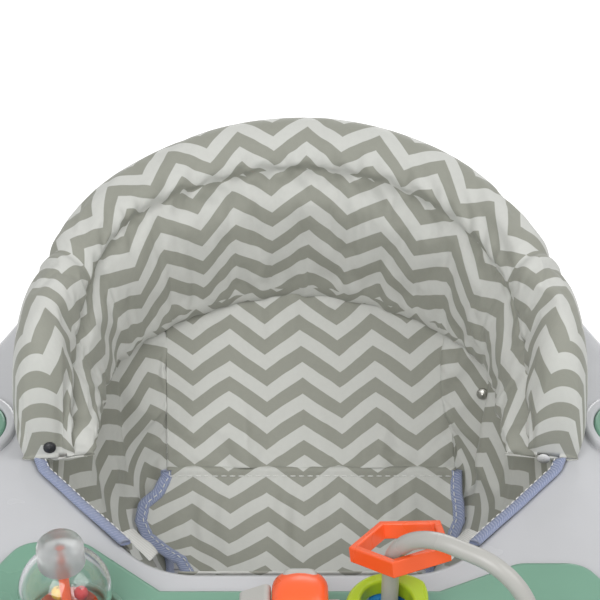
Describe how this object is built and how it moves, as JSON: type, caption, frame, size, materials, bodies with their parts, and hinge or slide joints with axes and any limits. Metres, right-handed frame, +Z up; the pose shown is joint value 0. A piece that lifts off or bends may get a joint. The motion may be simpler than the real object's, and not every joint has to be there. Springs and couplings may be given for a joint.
{
  "type": "baby walker",
  "caption": "Baby walker with a castor base, a folding scissor frame, a padded cloth seat hung in a moulded tray and a toy tray with a rattle ball, roller and ringed arch.",
  "frame": {"origin": "on the floor under the middle of the base ring", "axes": "+Z up, -Y towards the front, where the toy tray is, +X to the right of someone facing the back of the seat from the front"},
  "size_m": [0.62, 0.69, 0.5243],
  "materials": {
    "white_plastic": "gloss moulded",
    "rubber": "matt",
    "frame_plastic": "satin moulded",
    "steel_pin": "zinc plated",
    "castor_plastic": "satin moulded",
    "wheel_plastic": "satin moulded",
    "painted_steel": "powder coated tube",
    "mint_plastic": "gloss moulded",
    "orange_plastic": "gloss moulded",
    "lime_plastic": "gloss moulded",
    "blue_plastic": "gloss moulded",
    "grey_plastic": "gloss moulded",
    "clear_plastic": "clear moulded",
    "bead_plastic": "gloss moulded",
    "stiffener": "extruded sheet",
    "padded_cloth": "grey and white chevron print over fibre filling",
    "seat_cloth": "grey and white chevron print with blue binding"
  },
  "bodies": {
    "base": {"base_ring": "white_plastic", "grip_pads": "rubber", "lower_brackets": "frame_plastic", "lower_pins": "steel_pin", "base_guides": "frame_plastic"},
    "outer_frame": {"outer_leg_right": "painted_steel", "outer_leg_left": "painted_steel", "outer_crossbar": "painted_steel", "scissor_rivets": "steel_pin"},
    "inner_frame": {"inner_leg_right": "painted_steel", "inner_leg_left": "painted_steel", "inner_crossbar": "painted_steel"},
    "tray": {"tray_shell": "white_plastic", "upper_brackets": "frame_plastic", "upper_pins": "steel_pin", "height_racks": "frame_plastic", "lever_pin": "steel_pin", "side_inserts": "mint_plastic", "toy_tray": "mint_plastic", "rattle_cup": "orange_plastic", "roller_stand": "grey_plastic", "bead_arch": "grey_plastic", "back_board": "stiffener", "back_pad": "padded_cloth", "back_panel": "seat_cloth", "crotch_strip": "seat_cloth", "side_panel_right": "seat_cloth", "side_panel_left": "seat_cloth", "seat_tabs": "frame_plastic"},
    "release_lever": {"release_lever": "orange_plastic"},
    "rattle": {"rattle_shell": "clear_plastic", "rattle_knob": "grey_plastic", "rattle_beads": "bead_plastic"},
    "roller": {"roller_drum": "orange_plastic", "roller_bars": "grey_plastic"},
    "orange_ring": {"hex_ring": "orange_plastic"},
    "leaf": {"leaf_ring": "lime_plastic"},
    "triangle": {"triangle_ring": "blue_plastic"},
    "band": {"band_ring": "lime_plastic"},
    "castor_1": {"castor_fork_1": "castor_plastic", "castor_axle_1": "steel_pin"},
    "wheel_1": {"castor_wheel_1": "wheel_plastic"},
    "castor_2": {"castor_fork_2": "castor_plastic", "castor_axle_2": "steel_pin"},
    "wheel_2": {"castor_wheel_2": "wheel_plastic"},
    "castor_3": {"castor_fork_3": "castor_plastic", "castor_axle_3": "steel_pin"},
    "wheel_3": {"castor_wheel_3": "wheel_plastic"},
    "castor_4": {"castor_fork_4": "castor_plastic", "castor_axle_4": "steel_pin"},
    "wheel_4": {"castor_wheel_4": "wheel_plastic"},
    "castor_5": {"castor_fork_5": "castor_plastic", "castor_axle_5": "steel_pin"},
    "wheel_5": {"castor_wheel_5": "wheel_plastic"},
    "castor_6": {"castor_fork_6": "castor_plastic", "castor_axle_6": "steel_pin"},
    "wheel_6": {"castor_wheel_6": "wheel_plastic"}
  },
  "joints": [
    {"name": "frame_fold", "type": "hinge", "parent": "base", "child": "outer_frame", "pos_m": [0, 0.105, 0.104], "axis": [1, 0, 0], "range_deg": [-8.3, 29.7]},
    {"name": "scissor_cross", "type": "hinge", "parent": "outer_frame", "child": "inner_frame", "pos_m": [0, -0.035, 0.2335], "axis": [1, 0, 0], "range_deg": [-59.6, 16.8]},
    {"name": "tray_pivot", "type": "hinge", "parent": "inner_frame", "child": "tray", "pos_m": [0, 0.105, 0.363], "axis": [1, 0, 0], "range_deg": [-8.4, 29.8]},
    {"name": "castor_swivel_1", "type": "hinge", "parent": "base", "child": "castor_1", "pos_m": [-0.21607, -0.25107, 0.07], "axis": [0, 0, 1], "continuous": true},
    {"name": "wheel_spin_1", "type": "hinge", "parent": "castor_1", "child": "wheel_1", "pos_m": [-0.21607, -0.23707, 0.023], "axis": [1, 0, 0], "continuous": true},
    {"name": "castor_swivel_2", "type": "hinge", "parent": "base", "child": "castor_2", "pos_m": [0.21607, -0.25107, 0.07], "axis": [0, 0, 1], "continuous": true},
    {"name": "wheel_spin_2", "type": "hinge", "parent": "castor_2", "child": "wheel_2", "pos_m": [0.21607, -0.23707, 0.023], "axis": [1, 0, 0], "continuous": true},
    {"name": "castor_swivel_3", "type": "hinge", "parent": "base", "child": "castor_3", "pos_m": [-0.21607, 0.25107, 0.07], "axis": [0, 0, 1], "continuous": true},
    {"name": "wheel_spin_3", "type": "hinge", "parent": "castor_3", "child": "wheel_3", "pos_m": [-0.21607, 0.26507, 0.023], "axis": [1, 0, 0], "continuous": true},
    {"name": "castor_swivel_4", "type": "hinge", "parent": "base", "child": "castor_4", "pos_m": [0.21607, 0.25107, 0.07], "axis": [0, 0, 1], "continuous": true},
    {"name": "wheel_spin_4", "type": "hinge", "parent": "castor_4", "child": "wheel_4", "pos_m": [0.21607, 0.26507, 0.023], "axis": [1, 0, 0], "continuous": true},
    {"name": "castor_swivel_5", "type": "hinge", "parent": "base", "child": "castor_5", "pos_m": [-0.26, 0, 0.07], "axis": [0, 0, 1], "continuous": true},
    {"name": "wheel_spin_5", "type": "hinge", "parent": "castor_5", "child": "wheel_5", "pos_m": [-0.26, 0.014, 0.023], "axis": [1, 0, 0], "continuous": true},
    {"name": "castor_swivel_6", "type": "hinge", "parent": "base", "child": "castor_6", "pos_m": [0.26, 0, 0.07], "axis": [0, 0, 1], "continuous": true},
    {"name": "wheel_spin_6", "type": "hinge", "parent": "castor_6", "child": "wheel_6", "pos_m": [0.26, 0.014, 0.023], "axis": [1, 0, 0], "continuous": true},
    {"name": "lever_pull", "type": "hinge", "parent": "tray", "child": "release_lever", "pos_m": [0, -0.3, 0.345], "axis": [-1, 0, 0], "range_deg": [0, 30], "stiffness_Nm_per_rad": 0.3, "springref_deg": -14.32},
    {"name": "ball_spin", "type": "hinge", "parent": "tray", "child": "rattle", "pos_m": [-0.135, -0.146, 0.422], "axis": [0, 0, 1], "continuous": true},
    {"name": "roller_spin", "type": "hinge", "parent": "tray", "child": "roller", "pos_m": [0, -0.16, 0.418], "axis": [1, 0, 0], "continuous": true},
    {"name": "orange_ring_turn", "type": "hinge", "parent": "tray", "child": "orange_ring", "pos_m": [0.052, -0.142, 0.441], "axis": [0, 0, 1], "range_deg": [-30, 4]},
    {"name": "leaf_turn", "type": "hinge", "parent": "tray", "child": "leaf", "pos_m": [0.052, -0.142, 0.411], "axis": [0, 0, 1], "range_deg": [-12, 30]},
    {"name": "triangle_turn", "type": "hinge", "parent": "tray", "child": "triangle", "pos_m": [0.052, -0.142, 0.399], "axis": [0, 0, 1], "range_deg": [-20, 30]},
    {"name": "band_turn", "type": "hinge", "parent": "tray", "child": "band", "pos_m": [0.127, -0.186, 0.397], "axis": [0, 0, 1], "continuous": true}
  ],
  "couplings": [
    {"joint": "scissor_cross", "follows": "frame_fold", "ratio": -2},
    {"joint": "tray_pivot", "follows": "frame_fold", "ratio": 1}
  ]
}
